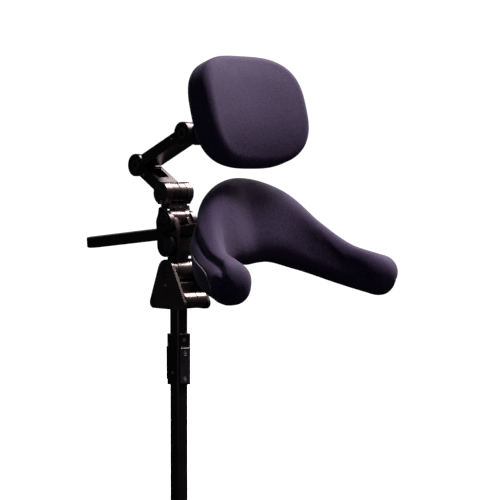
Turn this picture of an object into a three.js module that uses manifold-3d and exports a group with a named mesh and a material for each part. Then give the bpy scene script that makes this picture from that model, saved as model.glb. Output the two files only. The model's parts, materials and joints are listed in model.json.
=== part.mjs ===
// Adjustable head and neck support: a head pad and a U-shaped neck pad on black articulated
// hardware, carried by a square post that slides in a receiver.
// Millimetres. +Z is up, the pads face -Y, +X is lateral, and the whole object is symmetric
// about X = 0. Side-view positions are written as (forward, up): forward is -Y.
// The model is laid out with z = 0 at the bottom of the post and the post's axis at x = y = 0,
// then moved once, so that the origin is the centre of the receiver's mounting face.
import * as THREE from 'three';
import { mergeVertices } from 'three/addons/utils/BufferGeometryUtils.js';
import Module from 'manifold-3d';

// ---------------------------------------------------------------- driving dimensions
const GAP = 0.3;                 // clearance between pieces that touch
const DEG = Math.PI / 180;
const FACETS = { large: 28, head: 20, bore: 12, small: 10 };   // sides of round pieces, by size

const POST = { side: 16, chamfer: 2, top: 292 };
const RECEIVER = { side: 20, bore: 16.7, low: 178, high: 222.8, rearPad: 1.5 };
const MOUNT = { width: 15, thickness: 1.6, low: 180, high: 221, screwLow: 185.4, screwHigh: 215.4 };
const COLLAR = { low: 223.1, high: 237 };
const HEAD = { halfWidth: 10.5, halfDepth: 11, low: 267.5, high: 296.4 };

const HALF_WIDE = 20;            // outer half width of the base, hub and middle knuckle
const HALF_SLIM = 14;            // outer half width of the two upper knuckles
const PLATE = 3.6;               // thickness of the triangular base plates

// knuckle and pivot centres, (forward, up)
const BASE_PIVOT = [0, 309.6];
const HUB_LOWER_LOBE = [-1, 339.5];
const HUB_UPPER_LOBE = [-3, 364.8];
const HUB_PIVOT = [-3, 370.6];
const MIDDLE = [-8.4, 399];
const REAR = [-61.7, 431.3];
const UPPER = [21.6, 467.1];

const LOBE_R = 13.7;
const HUB_CHEEK_R = 8.7;
const MIDDLE_R = 12.7;
const KNUCKLE_R = 13.3;
const HUB_PLATE_INNER = 14;      // inner face of the hub's side plates
const EAR_INNER = 11.2;          // inner face of the middle knuckle's ears
const SLIM_EAR_INNER = 7;        // inner face of the upper knuckles' ears

const ROD = { side: 14, chamfer: 2, rear: -165.5, front: 47, slope: 5.9, up: 350.2, at: -39 };
const BALL = { r: 9, linerOuter: 11, stem: 4.6 };
const SOCKET = { inner: 11.3, outer: 17, back: 7.5, front: 11.5 };
const NECK_BALL = 63;            // forward position of the neck pad's ball on the rod's axis

// head pad: centre, size, lean back at the top and forward curl of its sides
const HEAD_PAD = { forward: 114, up: 488.4, width: 162, height: 132, thick: 46, lean: 16.5, curl: 4.8 };
const HEAD_PAD_OUTLINE = 2.84;   // superellipse exponent of its front outline
const HEAD_PAD_EDGE = 2.5;       // superellipse exponent of its side section
const HEAD_SHELL = { width: 98, height: 74, thick: 4, corner: 16 };

// neck pad: stations from its middle to one tip, mirrored for the other arm
// lateral, forward, up, half height, half thickness, outward lean of the section in degrees
const NECK_PAD = [
  [0, 106, 367, 48, 20.5, 10],
  [36, 115.5, 361, 42, 21, 10],
  [71, 134, 341, 30, 19, 7],
  [97, 169, 320.5, 22.5, 18.5, 3],
  [111.5, 211.5, 309, 21.5, 20, 0],
];
const NECK_PAD_EDGE = 2.4;       // superellipse exponent of its section
const NECK_TIP = 19;             // how far the rounded tip runs past the last station
const NECK_SHELL = { radius: 95, thick: 4, halfAngle: 26, halfHeight: 24, forward: 176, up: 366 };

// ---------------------------------------------------------------- materials
function finish(color, roughness, metalness) {
  return new THREE.MeshStandardMaterial({ color, roughness, metalness });
}
const anodised = () => finish(0x15121a, 0.38, 0.85);
const anodisedWarm = () => finish(0x1d171b, 0.33, 0.85);
const blackSteel = () => finish(0x1a1a1d, 0.35, 0.9);
const greySteel = () => finish(0x5a5658, 0.4, 0.9);
const blackPlastic = () => finish(0x101012, 0.55, 0);
const fabric = () => finish(0x2c2138, 0.95, 0);

// ---------------------------------------------------------------- solid helpers
const wasm = await Module();
wasm.setup();

function toSolid(geometry) {
  const bare = geometry.clone();
  bare.deleteAttribute('normal');
  bare.deleteAttribute('uv');
  const merged = mergeVertices(bare, 1e-4);
  const vertProperties = new Float32Array(merged.attributes.position.array);
  const triVerts = new Uint32Array(merged.index.array);
  return new wasm.Manifold(new wasm.Mesh({ numProp: 3, vertProperties, triVerts }));
}

function toGeometry(solid) {
  const mesh = solid.getMesh();
  const geometry = new THREE.BufferGeometry();
  geometry.setAttribute('position', new THREE.BufferAttribute(mesh.vertProperties, 3));
  geometry.setIndex(new THREE.BufferAttribute(mesh.triVerts, 1));
  return geometry;
}

function join(...geometries) {
  return toGeometry(geometries.map(toSolid).reduce((whole, part) => whole.add(part)));
}

function cut(geometry, ...tools) {
  return toGeometry(tools.map(toSolid).reduce((whole, tool) => whole.subtract(tool), toSolid(geometry)));
}

// ---------------------------------------------------------------- shape helpers, (forward, up)
// A round bar along X between two lateral positions.
function disc([forward, up], radius, xLow, xHigh, segments = FACETS.large) {
  const geometry = new THREE.CylinderGeometry(radius, radius, xHigh - xLow, segments);
  geometry.rotateZ(Math.PI / 2);
  return geometry.translate((xLow + xHigh) / 2, -forward, up);
}

// A block between two corners.
function block([forwardLow, forwardHigh], [upLow, upHigh], [xLow, xHigh]) {
  const size = [xHigh - xLow, forwardHigh - forwardLow, upHigh - upLow];
  const geometry = new THREE.BoxGeometry(...size);
  return geometry.translate((xLow + xHigh) / 2, -(forwardLow + forwardHigh) / 2, (upLow + upHigh) / 2);
}

// A side-view outline made into a plate between two lateral positions.
function plate(shape, xLow, xHigh) {
  const geometry = new THREE.ExtrudeGeometry(shape, {
    depth: xHigh - xLow, bevelEnabled: false, curveSegments: 8,
  });
  const axes = [new THREE.Vector3(0, -1, 0), new THREE.Vector3(0, 0, 1), new THREE.Vector3(-1, 0, 0)];
  const place = new THREE.Matrix4().makeBasis(...axes);
  return geometry.applyMatrix4(place.setPosition(xHigh, 0, 0));
}

function outline(points) {
  return new THREE.Shape(points.map(([forward, up]) => new THREE.Vector2(forward, up)));
}

// A square section with its corners taken off.
function chamferedSquare(side, chamfer) {
  const half = side / 2;
  const inner = half - chamfer;
  return outline([
    [half, -inner], [half, inner], [inner, half], [-inner, half],
    [-half, inner], [-half, -inner], [-inner, -half], [inner, -half],
  ]);
}

// A plan outline (x, y) made into an upright bar.
function upright(shape, low, high) {
  const geometry = new THREE.ExtrudeGeometry(shape, {
    depth: high - low, bevelEnabled: false, curveSegments: 12,
  });
  return geometry.translate(0, 0, low);
}

// A turned piece: profile points are (radius, distance), with the axis turned to point forward.
function turned(points, segments = FACETS.large) {
  const profile = points.map(([radius, along]) => new THREE.Vector2(radius, along));
  return new THREE.LatheGeometry(profile, segments).rotateX(Math.PI);
}

function roundedRectangle(width, height, corner) {
  const x = width / 2 - corner;
  const y = height / 2 - corner;
  const shape = new THREE.Shape();
  shape.absarc(x, y, corner, 0, Math.PI / 2);
  shape.absarc(-x, y, corner, Math.PI / 2, Math.PI);
  shape.absarc(-x, -y, corner, Math.PI, 1.5 * Math.PI);
  shape.absarc(x, -y, corner, 1.5 * Math.PI, 2 * Math.PI);
  shape.closePath();
  return shape;
}

// ---------------------------------------------------------------- scene helpers
function add(group, name, geometry, material) {
  const mesh = new THREE.Mesh(geometry, material);
  mesh.name = name;
  group.add(mesh);
  return mesh;
}

// A frame at a side-view point whose own forward axis climbs at the given angle.
function frameAt([forward, up], climb = 0) {
  const frame = new THREE.Group();
  frame.position.set(0, -forward, up);
  frame.rotation.x = -climb;
  return frame;
}

const between = (a, b) => Math.hypot(b[0] - a[0], b[1] - a[1]);
const climbOf = (a, b) => Math.atan2(b[1] - a[1], b[0] - a[0]);

// ---------------------------------------------------------------- fasteners
const BOLT = { shank: 4, bore: 4.35, head: 7, recess: 7.9, headDepth: 3.2, recessDepth: 3.8, key: 3.4 };

function hexKey(centre, radius, xLow, xHigh) {
  return disc(centre, radius, xLow, xHigh, 6);
}

// A socket-head pivot bolt across a knuckle, its head sunk in the left face (-X).
function pivotBolt(centre, halfWidth) {
  const face = -halfWidth + BOLT.recessDepth - GAP;
  const shank = disc(centre, BOLT.shank, face - 0.5, halfWidth - 0.8, FACETS.bore);
  const head = disc(centre, BOLT.head, face - BOLT.headDepth, face, FACETS.head);
  const key = hexKey(centre, BOLT.key, face - BOLT.headDepth - 1, face - 1);
  return cut(join(shank, head), key);
}

function pivotNut(centre, halfWidth) {
  const face = halfWidth - BOLT.recessDepth + GAP;
  return cut(
    disc(centre, BOLT.head, face, face + BOLT.headDepth, 6),
    disc(centre, BOLT.bore, face - 1, face + BOLT.headDepth + 1, FACETS.bore),
  );
}

// The hole that a pivot bolt and its nut need: a through bore and a recess in each face.
function pivotHole(centre, halfWidth) {
  const shelf = halfWidth - BOLT.recessDepth;
  return [
    disc(centre, BOLT.bore, -halfWidth - 1, halfWidth + 1, FACETS.bore),
    disc(centre, BOLT.recess, -halfWidth - 1, -shelf, FACETS.head),
    disc(centre, BOLT.recess, shelf, halfWidth + 1, FACETS.head),
  ];
}

// A small clamping screw let into a left face, and the pocket that it sits in.
const PINCH = { r: 1.7, pocket: 2.05, depth: 4, key: 0.8 };

function pinchScrew(centre, face) {
  const body = disc(centre, PINCH.r, face + 0.3, face + PINCH.depth, FACETS.small);
  return cut(body, hexKey(centre, PINCH.key, face - 1, face + 1.6));
}

function pinchPocket(centre, face) {
  return disc(centre, PINCH.pocket, face - 1, face + PINCH.depth + GAP, FACETS.small);
}

// ---------------------------------------------------------------- receiver and post
function receiver(group) {
  const half = RECEIVER.side / 2;
  const sleeveOutline = chamferedSquare(RECEIVER.side, 1.2);
  const bore = chamferedSquare(RECEIVER.bore, 1.8);
  const rearPad = block([-half - RECEIVER.rearPad, -half + 1], [184, RECEIVER.high - 0.5], [-9, 9]);
  const lockHole = new THREE.CylinderGeometry(2.4, 2.4, 12, FACETS.bore).translate(0, half, LOCK_UP);
  const plateHoles = [MOUNT.screwLow, MOUNT.screwHigh].map(frontHole);
  const sideHole = disc([0, 192.3], PINCH.pocket, -half - 1, -6, FACETS.small);
  const sleeve = cut(
    join(upright(sleeveOutline, RECEIVER.low, RECEIVER.high), rearPad),
    upright(bore, RECEIVER.low - 1, RECEIVER.high + 1), lockHole, ...plateHoles, sideHole,
  );
  add(group, 'receiver_sleeve', sleeve, anodised());
  const setScrew = cut(disc([0, 192.3], PINCH.r, -half + 0.2, -half + 1.6, FACETS.small));
  add(group, 'receiver_set_screw', setScrew, greySteel());

  const front = half + GAP;
  const mount = block([front, front + MOUNT.thickness], [MOUNT.low, MOUNT.high],
    [-MOUNT.width / 2, MOUNT.width / 2]);
  const sinks = [MOUNT.screwLow, MOUNT.screwHigh].map((up) => alongForward(2.9, front - 1, front + 4, up));
  add(group, 'receiver_front_plate', cut(mount, ...sinks), blackSteel());
  add(group, 'plate_screw_lower', plateScrew(front, MOUNT.screwLow), greySteel());
  add(group, 'plate_screw_upper', plateScrew(front, MOUNT.screwHigh), greySteel());

  const lock = join(
    alongForward(2, -half - 2.4, -half + 1.2, LOCK_UP),
    alongForward(4, -half - 3.8, -half - 1.8, LOCK_UP, FACETS.head),
  );
  const slot = block([-half - 5, -half - 2.8], [LOCK_UP - 0.6, LOCK_UP + 0.6], [-5, 5]);
  add(group, 'post_lock_screw', cut(lock, slot), greySteel());
}

const LOCK_UP = 208.7;

// A round bar along the forward axis at x = 0.
function alongForward(radius, forwardLow, forwardHigh, up, segments = FACETS.bore) {
  const geometry = new THREE.CylinderGeometry(radius, radius, forwardHigh - forwardLow, segments);
  return geometry.translate(0, -(forwardLow + forwardHigh) / 2, up);
}

function frontHole(up) {
  return alongForward(1.8, 5, RECEIVER.side / 2 + 2, up);
}

function plateScrew(front, up) {
  const head = alongForward(2.5, front + 0.1, front + MOUNT.thickness - 0.3, up);
  const shank = alongForward(1.4, front - 1.6, front + 0.5, up);
  const drive = alongForward(1, front + 0.9, front + MOUNT.thickness + 1, up, 6);
  return cut(join(head, shank), drive);
}

function stopCollar(group) {
  const ring = upright(chamferedSquare(RECEIVER.side, 1.2), COLLAR.low, COLLAR.high);
  const bore = upright(chamferedSquare(RECEIVER.bore, 1.8), COLLAR.low - 1, COLLAR.high + 1);
  const middle = (COLLAR.low + COLLAR.high) / 2;
  const hole = alongForward(2.6, 5, 12, middle);
  add(group, 'stop_collar', cut(ring, bore, hole), anodised());
  const screw = cut(
    alongForward(2.3, RECEIVER.bore / 2 + 0.1, RECEIVER.side / 2 - 0.2, middle),
    alongForward(1.1, RECEIVER.bore / 2 + 0.8, 12, middle, 6),
  );
  add(group, 'collar_set_screw', screw, greySteel());
}

function post(group) {
  const capHole = new THREE.CylinderGeometry(3.3, 3.3, 9, FACETS.bore).rotateX(Math.PI / 2);
  const bar = cut(upright(chamferedSquare(POST.side, POST.chamfer), 0, POST.top), capHole);
  add(group, 'post_bar', bar, anodised());
  const plug = new THREE.CylinderGeometry(3, 3, 6, FACETS.bore).rotateX(Math.PI / 2);
  const cap = join(upright(chamferedSquare(POST.side, POST.chamfer), -3, -GAP), plug);
  add(group, 'post_end_cap', cap, blackPlastic());
}

// ---------------------------------------------------------------- base knuckle
const BASE_CORNERS = [[-21.5, 273], [26.5, 273]];
const FRONT_SPACER = { centre: [23, 276.6], r: 9.3 };
const REAR_SPACER = { centre: [-19.5, 275.5], r: 7 };
const CORNER_BOLT = { r: 2.6, bore: 2.95, head: 4.6, recess: 5, depth: 1.6 };

// A triangle with rounded corners: the hull of three circles, as a shape.
function roundedTriangle(centres, radii) {
  const hull = [];
  centres.forEach((centre, index) => {
    const before = centres[(index + 2) % 3];
    const after = centres[(index + 1) % 3];
    const enter = tangentAngle(before, radii[(index + 2) % 3], centre, radii[index]);
    let leave = tangentAngle(centre, radii[index], after, radii[(index + 1) % 3]);
    while (leave < enter) leave += 2 * Math.PI;
    const steps = Math.max(4, Math.round((leave - enter) / (15 * DEG)));
    for (let step = 0; step <= steps; step += 1) {
      const angle = enter + (leave - enter) * step / steps;
      hull.push([centre[0] + radii[index] * Math.cos(angle), centre[1] + radii[index] * Math.sin(angle)]);
    }
  });
  return outline(hull);
}

// Direction from both centres to the outer tangent of two circles, walked anticlockwise.
function tangentAngle(from, fromRadius, to, toRadius) {
  const turn = Math.acos((fromRadius - toRadius) / between(from, to));
  return climbOf(from, to) - turn;
}

function basePlate(side) {
  const xLow = side < 0 ? -HALF_WIDE : HALF_WIDE - PLATE;
  const shape = roundedTriangle([...BASE_CORNERS, BASE_PIVOT], [6.8, 6.8, 13.7]);
  const outer = side * HALF_WIDE;
  const sink = (centre, radius, depth) => {
    const inner = outer - side * depth;
    return disc(centre, radius, Math.min(inner, outer + side), Math.max(inner, outer + side), FACETS.head);
  };
  const tools = [
    disc(BASE_PIVOT, BOLT.bore, -HALF_WIDE - 1, HALF_WIDE + 1, FACETS.bore),
    sink(BASE_PIVOT, BOLT.recess, 2.4),
    ...[FRONT_SPACER.centre, REAR_SPACER.centre].flatMap((centre) => [
      disc(centre, CORNER_BOLT.bore, -HALF_WIDE - 1, HALF_WIDE + 1, FACETS.small),
      sink(centre, CORNER_BOLT.recess, CORNER_BOLT.depth + 0.2),
    ]),
  ];
  if (side < 0) tools.push(disc(BASE_SCREW, PINCH.pocket, -HALF_WIDE - 1, -HALF_WIDE + 2.6, FACETS.small));
  return cut(plate(shape, xLow, xLow + PLATE), ...tools);
}
const BASE_SCREW = [-0.5, 293.5];

function cornerBolt(centre) {
  const { r, head, depth } = CORNER_BOLT;
  const left = -HALF_WIDE + GAP;
  const body = join(
    disc(centre, r, left + 0.5, HALF_WIDE - GAP - 0.5, FACETS.small),
    disc(centre, head, left - 0.1, left + depth - GAP, FACETS.head),
    disc(centre, head, HALF_WIDE - depth, HALF_WIDE - GAP, 6),
  );
  return cut(body, hexKey(centre, 2, left - 1, left + 0.8));
}

function spacer({ centre, r }, xLow, xHigh) {
  return cut(disc(centre, r, xLow, xHigh), disc(centre, CORNER_BOLT.bore, xLow - 1, xHigh + 1, FACETS.small));
}

function baseKnuckle(group) {
  const inside = HALF_WIDE - PLATE - GAP;
  const socket = upright(chamferedSquare(RECEIVER.bore, 1.8), HEAD.low - 1, POST.top + GAP);
  const body = block([-HEAD.halfDepth, HEAD.halfDepth], [HEAD.low, HEAD.high], [-inside, inside]);
  const screwHole = disc(BASE_SCREW, PINCH.pocket, -inside - 1, -inside + 3, FACETS.small);
  add(group, 'post_head', cut(body, socket, screwHole), anodised());
  add(group, 'base_plate_left', basePlate(-1), anodisedWarm());
  add(group, 'base_plate_right', basePlate(1), anodisedWarm());
  add(group, 'front_spacer_left', spacer(FRONT_SPACER, -inside, 1), anodisedWarm());
  add(group, 'front_spacer_right', spacer(FRONT_SPACER, 1 + GAP, inside), anodisedWarm());
  add(group, 'rear_spacer', spacer(REAR_SPACER, -inside, inside), anodised());
  add(group, 'front_corner_bolt', cornerBolt(FRONT_SPACER.centre), blackSteel());
  add(group, 'rear_corner_bolt', cornerBolt(REAR_SPACER.centre), blackSteel());
  const screw = cut(
    disc(BASE_SCREW, PINCH.r, -HALF_WIDE + 0.3, -HALF_WIDE + 2.3, FACETS.small),
    hexKey(BASE_SCREW, PINCH.key, -HALF_WIDE - 1, -HALF_WIDE + 1.4),
  );
  add(group, 'base_set_screw', screw, greySteel());

  const washerBore = disc(BASE_PIVOT, BOLT.bore, -HALF_WIDE, HALF_WIDE, FACETS.bore);
  const washerSize = [TONGUE_BASE + GAP, inside];
  add(group, 'base_washer_left',
    cut(disc(BASE_PIVOT, 12.2, -washerSize[1], -washerSize[0]), washerBore), blackSteel());
  add(group, 'base_washer_right',
    cut(disc(BASE_PIVOT, 12.2, ...washerSize), washerBore), blackSteel());
  const left = -HALF_WIDE + GAP;
  const boltHead = disc(BASE_PIVOT, BOLT.head, left - 0.1, left + 1.8, FACETS.head);
  const boltShank = disc(BASE_PIVOT, BOLT.shank, left + 1, HALF_WIDE - 0.9, FACETS.bore);
  const boltKey = hexKey(BASE_PIVOT, BOLT.key, left - 1, left + 1.2);
  add(group, 'base_pivot_bolt', cut(join(boltHead, boltShank), boltKey), blackSteel());
  const nut = cut(
    disc(BASE_PIVOT, BOLT.head, HALF_WIDE - 2.1, HALF_WIDE - 0.4, 6),
    disc(BASE_PIVOT, BOLT.bore, HALF_WIDE - 3, HALF_WIDE + 1, FACETS.bore),
  );
  add(group, 'base_pivot_nut', nut, greySteel());
}
const TONGUE_BASE = 8.8;         // half width of the hub's tongue at the base pivot

// ---------------------------------------------------------------- hub
const CLAMP_SCREW = [-1, 337.5];

function hubBody() {
  const half = HUB_PLATE_INNER - GAP;
  const foot = join(
    disc(BASE_PIVOT, 12.5, -TONGUE_BASE, TONGUE_BASE),
    block([-9.5, 7.5], [BASE_PIVOT[1], 331], [-TONGUE_BASE, TONGUE_BASE]),
  );
  const side = outline([
    [-13, 328], [11, 328], [14, 333], [14, 356], [6, 371], [-12, 371], [-17, 356], [-17, 333],
  ]);
  const body = join(plate(side, -half, half), disc(HUB_PIVOT, HUB_CHEEK_R, -half, half));
  const channelHalf = ROD.side / 2 + GAP;
  const channel = new THREE.BoxGeometry(2 * channelHalf, 120, 60);
  channel.translate(0, 0, 30 - channelHalf);
  channel.rotateX(-ROD.slope * DEG);
  channel.translate(0, 0, rodUp(0));
  return cut(
    join(foot, body), channel,
    disc(BASE_PIVOT, BOLT.bore, -HALF_WIDE, HALF_WIDE, FACETS.bore),
    disc(HUB_PIVOT, BOLT.bore, -HALF_WIDE, HALF_WIDE, FACETS.bore),
    disc(CLAMP_SCREW, CORNER_BOLT.bore, -HALF_WIDE, HALF_WIDE, FACETS.small),
  );
}

// Side plate of the hub: two round lobes, a narrow horn above and a V notch where the rod passes.
function hubPlate(side) {
  const range = side < 0 ? [-HALF_WIDE, -HUB_PLATE_INNER] : [HUB_PLATE_INNER, HALF_WIDE];
  const horn = [[-16.4, 362], [-12.4, 379], [-11.6, 382.3], [-4, 384.6], [-2.6, 379], [2, 376]];
  const notch = [[-7.8, 352.4], [24, 363.5], [24, 346.4]];
  const whole = join(
    disc(HUB_LOWER_LOBE, LOBE_R, ...range),
    disc(HUB_UPPER_LOBE, LOBE_R, ...range),
    plate(outline([[-14.7, 339.5], [-2, 339.5], [-2, 365], [-16.7, 365], [-15, 352]]), ...range),
    plate(outline([[-2, 360], ...horn.toReversed()]), ...range),
  );
  return cut(
    whole, plate(outline(notch), range[0] - 1, range[1] + 1),
    ...pivotHole(HUB_PIVOT, HALF_WIDE),
    disc(CLAMP_SCREW, CORNER_BOLT.bore, -HALF_WIDE - 1, HALF_WIDE + 1, FACETS.small),
    disc(CLAMP_SCREW, CORNER_BOLT.recess, -HALF_WIDE - 1, -HALF_WIDE + 2, FACETS.head),
    disc(CLAMP_SCREW, CORNER_BOLT.recess, HALF_WIDE - 2, HALF_WIDE + 1, FACETS.head),
  );
}

function hub(group) {
  add(group, 'hub_body', hubBody(), anodisedWarm());
  add(group, 'hub_plate_left', hubPlate(-1), anodised());
  add(group, 'hub_plate_right', hubPlate(1), anodised());
  add(group, 'rod_clamp_screw', cornerBolt(CLAMP_SCREW), blackSteel());
  add(group, 'hub_pivot_bolt', pivotBolt(HUB_PIVOT, HALF_WIDE), blackSteel());
  add(group, 'hub_pivot_nut', pivotNut(HUB_PIVOT, HALF_WIDE), greySteel());
}

// ---------------------------------------------------------------- depth rod and ball joints
function rodUp(forward) {
  return ROD.up + (forward - ROD.at) * Math.tan(ROD.slope * DEG);
}

function depthRod(group) {
  const frame = frameAt([0, rodUp(0)], ROD.slope * DEG);
  const scale = 1 / Math.cos(ROD.slope * DEG);
  const rear = ROD.rear * scale;
  const front = ROD.front * scale;
  const section = chamferedSquare(ROD.side, ROD.chamfer);
  const bar = new THREE.ExtrudeGeometry(section, { depth: front - rear - 4, bevelEnabled: false });
  bar.rotateX(Math.PI / 2).translate(0, -rear - 4, 0);
  const stemHole = alongForward(BALL.stem + GAP, front - 9, front + 1, 0);
  const plugHole = alongForward(3.3, rear, rear + 11, 0);
  add(frame, 'depth_rod', cut(bar, stemHole, plugHole), anodised());
  const tip = new THREE.CylinderGeometry(5.2 * Math.SQRT2, 6.7 * Math.SQRT2, 3.7, 4, 1).rotateY(Math.PI / 4);
  tip.translate(0, -rear - 1.85, 0);
  add(frame, 'rod_end_cap', join(tip, alongForward(3, rear + 2, rear + 10, 0)), blackPlastic());
  return frame;
}

// A ball on a stem that points back; the ball is at the frame's origin.
function ballStud(stemLength) {
  const ball = new THREE.SphereGeometry(BALL.r, 20, 12).rotateX(Math.PI / 2);
  return join(ball, alongForward(BALL.stem, -stemLength, 0, 0, FACETS.head));
}

// The plastic liner round the ball: a spherical band, open behind for the stem and in front.
function socketLiner() {
  const inner = BALL.r + 0.45;
  const rim = [52, 71, 90, 109, 128];
  const at = (radius, angle) => [radius * Math.sin(angle * DEG), -radius * Math.cos(angle * DEG)];
  const profile = [
    ...rim.map((angle) => at(inner, angle)),
    ...rim.toReversed().map((angle) => at(BALL.linerOuter, angle)),
    at(inner, rim[0]),
  ];
  return turned(profile.toReversed(), FACETS.head);
}

// The socket cup that holds the liner, closed in front by a flange on the pad's shell.
function socketCup() {
  const { inner, outer, back, front } = SOCKET;
  return turned([
    [0, front], [0, front - 2.2], [inner, front - 2.2], [inner, -back + 2.7], [outer, -back + 2.7],
    [outer, front - 3], [outer + 6, front - 3], [outer + 6, front], [0, front],
  ]);
}

// The screwed ring that keeps the liner in, with four spanner slots.
function retainerRing() {
  const { outer, back } = SOCKET;
  const ring = turned([
    [8.9, -back - 1], [outer - 1.5, -back - 1], [outer, -back + 0.4], [outer, -back + 2.4],
    [9.95, -back + 2.4], [8.9, -back - 1],
  ]);
  const slots = [0, 1].map((turn) => {
    const slot = new THREE.BoxGeometry(60, 1.6, 3.2);
    return slot.rotateY(turn * Math.PI / 2).translate(0, back + 1, 0);
  });
  const middle = alongForward(13.4, -back - 4, -back + 4, 0, FACETS.head);
  return cut(ring, ...slots.map((slot) => cut(slot, middle)));
}

// ---------------------------------------------------------------- links
// Each link's own frame starts at its lower pivot and points along the link.
function tongue(radius, halfWidth, reach, halfThick) {
  return join(
    disc([0, 0], radius, -halfWidth, halfWidth),
    block([0, reach], [-halfThick, halfThick], [-halfWidth, halfWidth]),
  );
}

// Two ears about a pivot, with the slot between them cut clear of a round tongue.
function fork(length, radius, barHalfThick, halfWidth, slotHalf, from) {
  return cut(
    join(
      disc([length, 0], radius, -halfWidth, halfWidth),
      block([from, length], [-barHalfThick, barHalfThick], [-halfWidth, halfWidth]),
    ),
    disc([length, 0], radius + 0.9, -slotHalf, slotHalf),
    block([length, length + radius + 1], [-radius - 1, radius + 1], [-slotHalf, slotHalf]),
    ...pivotHole([length, 0], halfWidth),
  );
}

function middleLink(group) {
  const slot = EAR_INNER - GAP;
  const waist = [[-16.5, 392], [-12.9, 386.4], [-11.9, 386.1], [-3.4, 386.1], [-2.2, 386.4], [1.5, 392]];
  const tongueHalf = ROD.side / 2 - GAP;
  const ears = join(
    disc(MIDDLE, MIDDLE_R, -HALF_WIDE, HALF_WIDE),
    plate(outline([...waist, [1.5, 399], [-16.5, 399]]), -HALF_WIDE, HALF_WIDE),
    block([-15, -0.5], [380.6, 387], [-HUB_PLATE_INNER + GAP, HUB_PLATE_INNER - GAP]),
  );
  const slotted = cut(
    ears,
    disc(MIDDLE, MIDDLE_R + 0.5, -slot, slot),
    block([-30, 12], [399, 420], [-slot, slot]),
    block([-30, MIDDLE[0]], [MIDDLE[1] - 4, 420], [-slot, slot]),
    ...pivotHole(MIDDLE, HALF_WIDE),
    pinchPocket(MIDDLE_SCREW, -HALF_WIDE),
  );
  const body = cut(
    join(slotted, disc(HUB_PIVOT, 8.4, -tongueHalf, tongueHalf),
      block([-8.4, 1.4], [HUB_PIVOT[1], 383], [-tongueHalf, tongueHalf])),
    disc(HUB_PIVOT, BOLT.bore, -HALF_WIDE, HALF_WIDE, FACETS.bore),
    cut(disc(HUB_PIVOT, 15.2, -HALF_WIDE - 1, HALF_WIDE + 1),
      disc(HUB_PIVOT, 16, -HUB_PLATE_INNER + GAP, HUB_PLATE_INNER - GAP)),
  );
  add(group, 'middle_link', body, anodisedWarm());
  add(group, 'middle_bolt', pivotBolt(MIDDLE, HALF_WIDE), blackSteel());
  add(group, 'middle_nut', pivotNut(MIDDLE, HALF_WIDE), greySteel());
  add(group, 'middle_pinch_screw', pinchScrew(MIDDLE_SCREW, -HALF_WIDE), greySteel());
}
const MIDDLE_SCREW = [-7.4, 389.2];

const BAR_HALF = 6.8;            // half thickness of the two links' bars

function rearLink(group) {
  const length = between(MIDDLE, REAR);
  const frame = frameAt(MIDDLE, climbOf(MIDDLE, REAR));
  const half = EAR_INNER - 2 * GAP;
  const pocket = block([24, 43], [-BAR_HALF - 1, 1.5], [-8, 8]);
  const seam = cut(disc([0, 0], MIDDLE_R + 2, -0.4, 0.4), disc([0, 0], MIDDLE_R - 1.6, -1, 1));
  const screwAt = [length - 19, 2.2];
  const body = cut(
    join(tongue(MIDDLE_R - 0.3, half, 26, BAR_HALF),
      fork(length, KNUCKLE_R, BAR_HALF, HALF_SLIM, SLIM_EAR_INNER, 14.2)),
    disc([0, 0], BOLT.bore, -HALF_WIDE, HALF_WIDE, FACETS.bore),
    cut(disc([0, 0], MIDDLE_R + 1.2, -HALF_WIDE, HALF_WIDE), disc([0, 0], MIDDLE_R + 3, -half, half)),
    pocket, seam, pinchPocket(screwAt, -HALF_SLIM),
  );
  add(frame, 'rear_link', body, anodised());
  add(frame, 'rear_bolt', pivotBolt([length, 0], HALF_SLIM), blackSteel());
  add(frame, 'rear_nut', pivotNut([length, 0], HALF_SLIM), greySteel());
  add(frame, 'rear_pinch_screw', pinchScrew(screwAt, -HALF_SLIM), greySteel());
  group.add(frame);
}

function longLink(group) {
  const length = between(REAR, UPPER);
  const frame = frameAt(REAR, climbOf(REAR, UPPER));
  const half = SLIM_EAR_INNER - GAP;
  const screwAt = [length - 19, 1.5];
  const body = cut(
    join(tongue(KNUCKLE_R - 0.4, half, 20, BAR_HALF - 1.2),
      fork(length, KNUCKLE_R, BAR_HALF, HALF_SLIM, SLIM_EAR_INNER, 14.4)),
    disc([0, 0], BOLT.bore, -HALF_WIDE, HALF_WIDE, FACETS.bore),
    pinchPocket(screwAt, -HALF_SLIM),
  );
  add(frame, 'long_link', body, anodised());
  add(frame, 'upper_bolt', pivotBolt([length, 0], HALF_SLIM), blackSteel());
  add(frame, 'upper_nut', pivotNut([length, 0], HALF_SLIM), greySteel());
  add(frame, 'upper_pinch_screw', pinchScrew(screwAt, -HALF_SLIM), greySteel());
  group.add(frame);
}

// ---------------------------------------------------------------- pads
// Where a pad's back is, measured from its centre along its own forward axis.
const headPadFrame = () => frameAt([HEAD_PAD.forward, HEAD_PAD.up], HEAD_PAD.lean * DEG);
const HEAD_BACK = -HEAD_PAD.thick / 2 - 0.8;
const HEAD_BALL_BACK = HEAD_BACK - HEAD_SHELL.thick - SOCKET.front - GAP;

const power = (value, exponent) => Math.sign(value) * Math.abs(value) ** (2 / exponent);

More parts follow.
